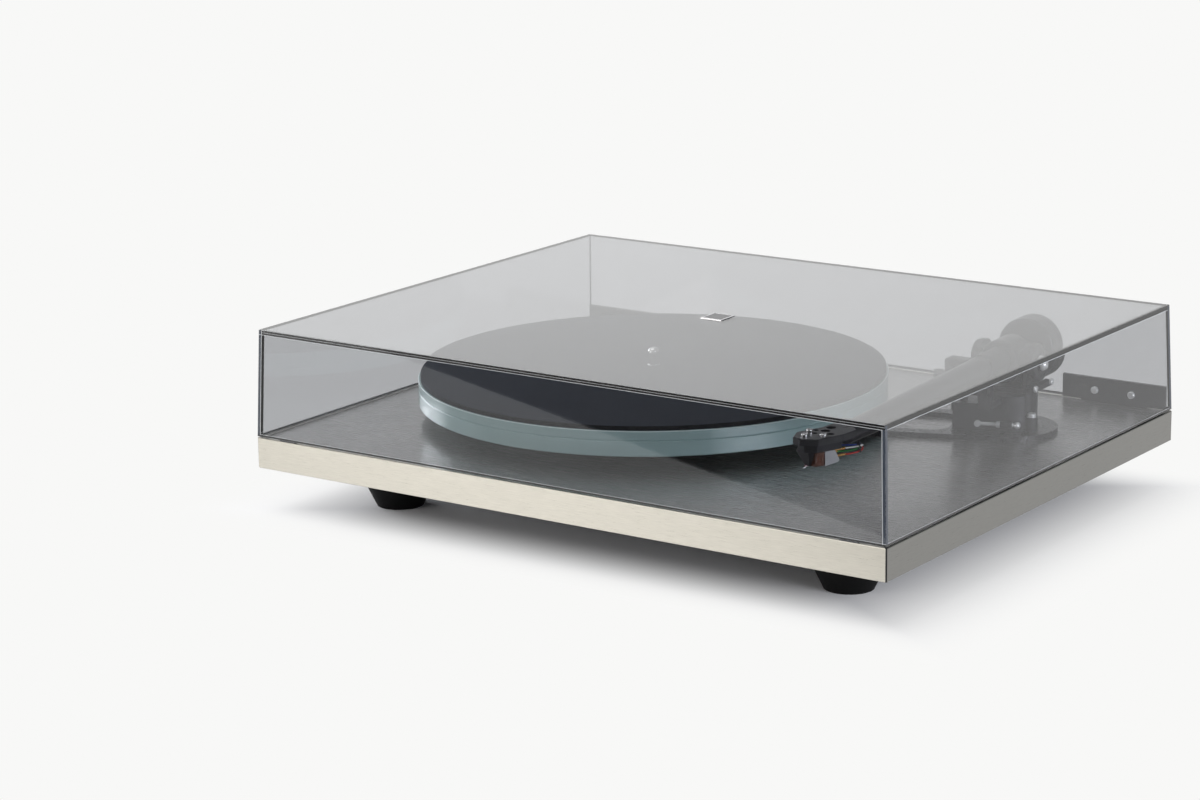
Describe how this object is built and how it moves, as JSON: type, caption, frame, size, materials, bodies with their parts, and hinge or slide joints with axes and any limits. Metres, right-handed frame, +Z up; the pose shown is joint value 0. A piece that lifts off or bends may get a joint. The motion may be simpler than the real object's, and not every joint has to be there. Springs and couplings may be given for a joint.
{
  "type": "belt-drive turntable",
  "caption": "Low record player with a glass platter, pivoted arm, brushed metal plinth on conical feet and a hinged smoked cover.",
  "frame": {"origin": "on the floor, under the middle of the whole object's box", "axes": "+X to the right seen from the front, +Y to the back, +Z up"},
  "size_m": [0.448, 0.3655, 0.1172],
  "materials": {
    "core": "black foam-cored board",
    "brushed_deck": "brushed along the width",
    "black_laminate": "matt laminate",
    "brushed_edge": "brushed along the edge",
    "foot_rubber": "moulded, matt",
    "zinc_steel": "zinc plated",
    "black_brace": "black phenolic sheet",
    "bearing_brass": "turned",
    "bearing_steel": "ground and polished",
    "motor_case": "black zinc",
    "belt_rubber": "matt",
    "black_moulding": "moulded",
    "hinge_black": "moulded",
    "arm_black": "black anodised",
    "bright_steel": "polished",
    "smoked_acrylic": "smoked clear sheet",
    "clear_rubber": "soft pad",
    "badge_metal": "blank plaque",
    "sub_platter_black": "black anodised",
    "platter_glass": "float glass, polished edge",
    "felt": "pressed felt",
    "pulley_aluminium": "turned",
    "arm_tube_black": "satin black coating",
    "cartridge_grey": "grey anodised",
    "amber_plastic": "tinted clear moulding",
    "cartridge_metal": "machined",
    "gold_pins": "gold plated",
    "stylus_metal": "drawn tube and diamond",
    "lead_insulation": "thin coloured insulation",
    "counterweight_black": "satin black"
  },
  "bodies": {
    "root": {"plinth_core": "core", "top_skin": "brushed_deck", "bottom_skin": "black_laminate", "front_strip": "brushed_edge", "rear_strip": "brushed_edge", "left_strip": "brushed_edge", "right_strip": "brushed_edge", "foot_front_left": "foot_rubber", "foot_front_right": "foot_rubber", "foot_rear": "foot_rubber", "foot_studs": "zinc_steel", "top_brace": "black_brace", "bottom_brace": "black_brace", "bearing_housing": "bearing_brass", "thrust_ball": "bearing_steel", "motor_body": "motor_case", "drive_belts": "belt_rubber", "power_socket": "black_moulding", "arm_cable_gland": "black_moulding", "hinge_bases": "hinge_black", "hinge_pins": "bearing_steel", "arm_base": "arm_black", "arm_base_screws": "bright_steel", "arm_rest": "arm_black"},
    "lid": {"dust_cover": "smoked_acrylic", "hinge_plates": "hinge_black", "hinge_leaves": "hinge_black", "hinge_screws": "bright_steel", "lid_bumpers": "clear_rubber", "lid_badge": "badge_metal"},
    "platter": {"sub_platter": "sub_platter_black", "spindle": "bearing_steel", "platter_disc": "platter_glass", "platter_ring": "platter_glass", "platter_mat": "felt"},
    "motor_rotor": {"motor_shaft": "bearing_steel", "motor_pulley": "pulley_aluminium"},
    "yoke": {"bearing_yoke": "arm_black", "vertical_spindle": "bearing_steel", "cheek_screws": "bright_steel", "dial_cap": "bright_steel"},
    "arm": {"arm_tube": "arm_tube_black", "bearing_barrel": "arm_tube_black", "pivot_pins": "bearing_steel", "rest_saddle": "arm_black", "counterweight_stub": "bearing_steel", "cartridge_body": "cartridge_grey", "coil_cover": "amber_plastic", "magnet_yoke": "cartridge_metal", "cartridge_pins": "gold_pins", "stylus": "stylus_metal", "cartridge_screws": "bright_steel", "head_leads": "lead_insulation"},
    "counterweight": {"counterweight": "counterweight_black"},
    "force_dial": {"force_dial": "arm_black"},
    "lift_platform": {"lift_platform": "arm_black"},
    "cue_lever": {"cue_lever": "bright_steel"},
    "bias_slider": {"bias_slider": "arm_black"}
  },
  "joints": [
    {"name": "lid_hinge", "type": "hinge", "parent": "root", "child": "lid", "pos_m": [0, 0.17875, 0.0466], "axis": [-1, 0, 0], "range_deg": [0, 65]},
    {"name": "platter_spin", "type": "hinge", "parent": "root", "child": "platter", "pos_m": [-0.0524, 0.00175, 0.0486], "axis": [0, 0, 1], "continuous": true},
    {"name": "motor_spin", "type": "hinge", "parent": "root", "child": "motor_rotor", "pos_m": [-0.1364, 0.05375, 0.0486], "axis": [0, 0, 1], "continuous": true},
    {"name": "arm_swing", "type": "hinge", "parent": "root", "child": "yoke", "pos_m": [0.157, 0.07815, 0.0921], "axis": [0, 0, 1], "range_deg": [-58, 0]},
    {"name": "arm_pitch", "type": "hinge", "parent": "yoke", "child": "arm", "pos_m": [0.157, 0.07815, 0.0921], "axis": [-0.999, -0.0454, 0], "range_deg": [0, 3]},
    {"name": "lever_turn", "type": "hinge", "parent": "root", "child": "cue_lever", "pos_m": [0.14948, 0.05318, 0.0569], "axis": [0.3223, -0.9466, 0], "range_deg": [0, 28]},
    {"name": "lift_slide", "type": "slide", "parent": "root", "child": "lift_platform", "axis": [0, 0, 1], "range_m": [0, 0.0021]},
    {"name": "weight_slide", "type": "slide", "parent": "arm", "child": "counterweight", "axis": [-0.0454, 0.999, 0], "range_m": [-0.006, 0.003]},
    {"name": "dial_turn", "type": "hinge", "parent": "yoke", "child": "force_dial", "pos_m": [0.157, 0.07815, 0.0921], "axis": [0.999, 0.0454, 0], "range_deg": [0, 300]},
    {"name": "bias_slide", "type": "slide", "parent": "root", "child": "bias_slider", "axis": [0.8829, 0.4695, 0], "range_m": [-0.0055, 0.0055]}
  ],
  "couplings": [
    {"joint": "motor_spin", "follows": "platter_spin", "ratio": 7.8571},
    {"joint": "lever_turn", "follows": "arm_pitch", "ratio": 9.333},
    {"joint": "lift_slide", "follows": "arm_pitch", "m_per_rad": 0.04}
  ]
}
